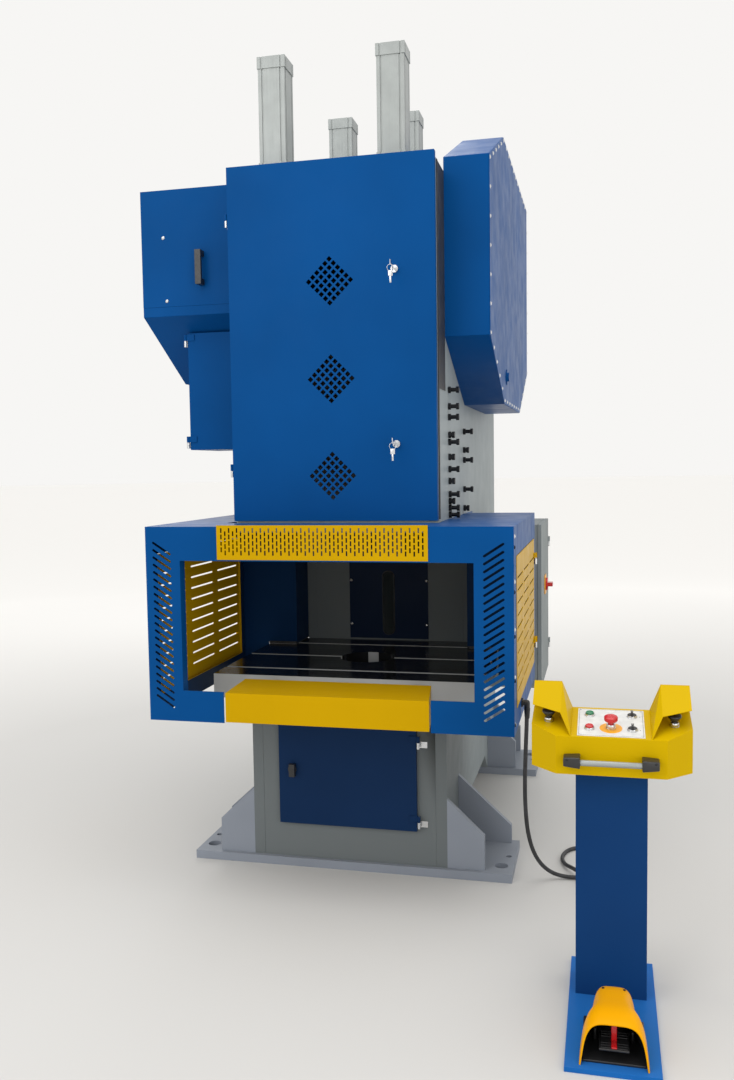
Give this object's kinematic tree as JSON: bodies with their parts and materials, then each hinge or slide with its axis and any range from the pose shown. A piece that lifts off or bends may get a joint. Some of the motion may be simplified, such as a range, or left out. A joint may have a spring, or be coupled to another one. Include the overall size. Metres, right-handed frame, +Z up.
{
  "type": "mechanical stamping press",
  "caption": "Gap-frame mechanical stamping press with crank drive, counterbalanced ram, T-slot bolster, slotted guard and a free-standing two-hand control console with foot switch.",
  "frame": {"origin": "on the floor at the centre of the rectangle of the four foundation bolts", "axes": "+X to the press's right as the operator faces it, +Y to the rear, +Z up"},
  "size_m": [2.15, 3.116, 3.245],
  "materials": {
    "frame_grey": "semi-gloss grey paint",
    "cover_blue": "satin blue paint",
    "guard_yellow": "gloss yellow paint",
    "cabinet_grey": "light grey textured paint",
    "ground_steel": "ground, oiled",
    "machined_steel": "machined",
    "dark_steel": "black oxide",
    "bright_steel": "plated",
    "cast": "as cast",
    "bronze": "machined bronze",
    "profile_aluminium": "anodised",
    "cable_rubber": "matt",
    "black_plastic": "matt",
    "red_plastic": "gloss",
    "green_plastic": "gloss",
    "legend_white": "printed sheet"
  },
  "bodies": {
    "press_frame": {"side_plates": "frame_grey", "cross_plates": "frame_grey", "foot_plates": "frame_grey", "bolster": "ground_steel", "throat_panel": "cover_blue", "gibs": "bronze", "gib_screws": "dark_steel", "shaft_bushes": "bronze", "balance_cylinders": "profile_aluminium", "brake_housing": "cast", "motor": "cover_blue", "drive_belts": "cable_rubber", "flywheel_cover": "cover_blue", "flywheel_cover_plate": "cover_blue", "cover_screws": "bright_steel", "brake_cover": "cover_blue", "left_cabinet": "cover_blue", "hinge_leaves": "bright_steel", "electrical_cabinet": "cabinet_grey", "guard_frame": "cover_blue", "perforated_panel": "guard_yellow", "front_tray": "guard_yellow", "control_stand": "cover_blue", "console": "guard_yellow", "legend_plate": "legend_white", "button_bezels": "bright_steel", "console_handle": "bright_steel", "foot_switch": "guard_yellow", "control_cable": "cable_rubber", "cable_glands": "black_plastic"},
    "crank": {"crankshaft": "machined_steel", "bull_gear": "machined_steel"},
    "connecting_rod": {"con_rod": "cast", "ball_screw": "machined_steel"},
    "ram": {"ram": "cast", "shank_clamp": "dark_steel", "balance_beam": "machined_steel", "balance_rods": "bright_steel"},
    "drive_shaft": {"drive_shaft": "machined_steel"},
    "flywheel": {"flywheel": "cast"},
    "motor_rotor": {"motor_pulley": "cast"},
    "front_door": {"front_door": "cover_blue"},
    "upper_lock": {"upper_lock": "bright_steel"},
    "lower_lock": {"lower_lock": "bright_steel"},
    "brake_hatch": {"brake_hatch": "cover_blue"},
    "left_cabinet_door": {"left_cabinet_door": "cover_blue"},
    "pedestal_door": {"pedestal_door": "cover_blue"},
    "pedestal_latch": {"pedestal_latch": "black_plastic"},
    "guard_door_left": {"guard_door_left": "guard_yellow"},
    "guard_door_right": {"guard_door_right": "guard_yellow"},
    "electrical_cabinet_door": {"electrical_cabinet_door": "cabinet_grey"},
    "switch_handle": {"switch_handle": "red_plastic"},
    "emergency_stop": {"emergency_stop": "red_plastic"},
    "green_button": {"green_button": "green_plastic"},
    "red_button": {"red_button": "red_plastic"},
    "selector_rear": {"selector_rear": "black_plastic"},
    "selector_front": {"selector_front": "black_plastic"},
    "palm_button_left": {"palm_button_left": "black_plastic"},
    "palm_button_right": {"palm_button_right": "black_plastic"},
    "foot_treadle": {"foot_treadle": "dark_steel"}
  },
  "joints": [
    {"name": "crank_turn", "type": "hinge", "parent": "press_frame", "child": "crank", "pos_m": [0, -0.493, 2.35], "axis": [1, 0, 0], "range_deg": [0, 180]},
    {"name": "ram_slide", "type": "slide", "parent": "press_frame", "child": "ram", "axis": [0, 0, -1], "range_m": [0, 0.08]},
    {"name": "con_rod_pin", "type": "hinge", "parent": "crank", "child": "connecting_rod", "pos_m": [0, -0.493, 2.39], "axis": [1, 0, 0], "range_deg": [-180, 0]},
    {"name": "drive_shaft_turn", "type": "hinge", "parent": "press_frame", "child": "drive_shaft", "pos_m": [0, -0.05076, 2.49369], "axis": [1, 0, 0], "range_deg": [-936, 0]},
    {"name": "flywheel_turn", "type": "hinge", "parent": "press_frame", "child": "flywheel", "pos_m": [0, -0.05076, 2.49369], "axis": [1, 0, 0], "continuous": true},
    {"name": "motor_turn", "type": "hinge", "parent": "press_frame", "child": "motor_rotor", "pos_m": [0, 0.735, 2.62], "axis": [1, 0, 0], "continuous": true},
    {"name": "front_door_swing", "type": "hinge", "parent": "press_frame", "child": "front_door", "pos_m": [-0.418, -1.006, 2], "axis": [0, 0, -1], "range_deg": [0, 100]},
    {"name": "upper_lock_turn", "type": "hinge", "parent": "front_door", "child": "upper_lock", "pos_m": [0.255, -1.02, 2.395], "axis": [0, -1, 0], "range_deg": [0, 90]},
    {"name": "lower_lock_turn", "type": "hinge", "parent": "front_door", "child": "lower_lock", "pos_m": [0.255, -1.02, 1.741], "axis": [0, -1, 0], "range_deg": [0, 90]},
    {"name": "brake_hatch_lift_off", "type": "slide", "parent": "press_frame", "child": "brake_hatch", "axis": [0, -1, 0], "range_m": [0, 0.12]},
    {"name": "left_cabinet_door_swing", "type": "hinge", "parent": "press_frame", "child": "left_cabinet_door", "pos_m": [-0.72, -0.737, 2], "axis": [0, 0, -1], "range_deg": [0, 100]},
    {"name": "pedestal_door_swing", "type": "hinge", "parent": "press_frame", "child": "pedestal_door", "pos_m": [0.299, -0.887, 0.4], "axis": [0, 0, 1], "range_deg": [0, 100]},
    {"name": "pedestal_latch_turn", "type": "hinge", "parent": "pedestal_door", "child": "pedestal_latch", "pos_m": [-0.232, -0.885, 0.412], "axis": [0, -1, 0], "range_deg": [0, 90]},
    {"name": "guard_door_left_swing", "type": "hinge", "parent": "press_frame", "child": "guard_door_left", "pos_m": [-0.685, -0.281, 1], "axis": [0, 0, -1], "range_deg": [0, 100]},
    {"name": "guard_door_right_swing", "type": "hinge", "parent": "press_frame", "child": "guard_door_right", "pos_m": [0.725, -0.281, 1], "axis": [0, 0, 1], "range_deg": [0, 100]},
    {"name": "electrical_cabinet_door_swing", "type": "hinge", "parent": "press_frame", "child": "electrical_cabinet_door", "pos_m": [0.737, 0.544, 1], "axis": [0, 0, 1], "range_deg": [0, 100]},
    {"name": "switch_handle_turn", "type": "hinge", "parent": "electrical_cabinet_door", "child": "switch_handle", "pos_m": [0.74, 0.235, 1.065], "axis": [1, 0, 0], "range_deg": [0, 90]},
    {"name": "emergency_stop_push", "type": "slide", "parent": "press_frame", "child": "emergency_stop", "axis": [0, 0.2079, -0.9781], "range_m": [0, 0.005], "stiffness_N_per_m": 400},
    {"name": "green_button_push", "type": "slide", "parent": "press_frame", "child": "green_button", "axis": [0, 0.2079, -0.9781], "range_m": [0, 0.004], "stiffness_N_per_m": 300},
    {"name": "red_button_push", "type": "slide", "parent": "press_frame", "child": "red_button", "axis": [0, 0.2079, -0.9781], "range_m": [0, 0.004], "stiffness_N_per_m": 300},
    {"name": "selector_rear_turn", "type": "hinge", "parent": "press_frame", "child": "selector_rear", "pos_m": [1.106, -1.67512, 0.88773], "axis": [0, -0.2079, 0.9781], "range_deg": [-45, 45]},
    {"name": "selector_front_turn", "type": "hinge", "parent": "press_frame", "child": "selector_front", "pos_m": [1.106, -1.7612, 0.86943], "axis": [0, -0.2079, 0.9781], "range_deg": [-45, 45]},
    {"name": "palm_button_left_push", "type": "slide", "parent": "press_frame", "child": "palm_button_left", "axis": [0, 0.2079, -0.9781], "range_m": [0, 0.005], "stiffness_N_per_m": 400},
    {"name": "palm_button_right_push", "type": "slide", "parent": "press_frame", "child": "palm_button_right", "axis": [0, 0.2079, -0.9781], "range_m": [0, 0.005], "stiffness_N_per_m": 400},
    {"name": "foot_treadle_press", "type": "hinge", "parent": "press_frame", "child": "foot_treadle", "pos_m": [1.0535, -1.932, 0.04], "axis": [1, 0, 0], "range_deg": [0, 8], "stiffness_Nm_per_rad": 12, "springref_deg": -2.86}
  ],
  "couplings": [
    {"joint": "ram_slide", "follows": "crank_turn", "m_per_rad": 0.025465},
    {"joint": "con_rod_pin", "follows": "crank_turn", "ratio": -1},
    {"joint": "drive_shaft_turn", "follows": "crank_turn", "ratio": -5.2},
    {"joint": "motor_turn", "follows": "flywheel_turn", "ratio": 5.898}
  ]
}
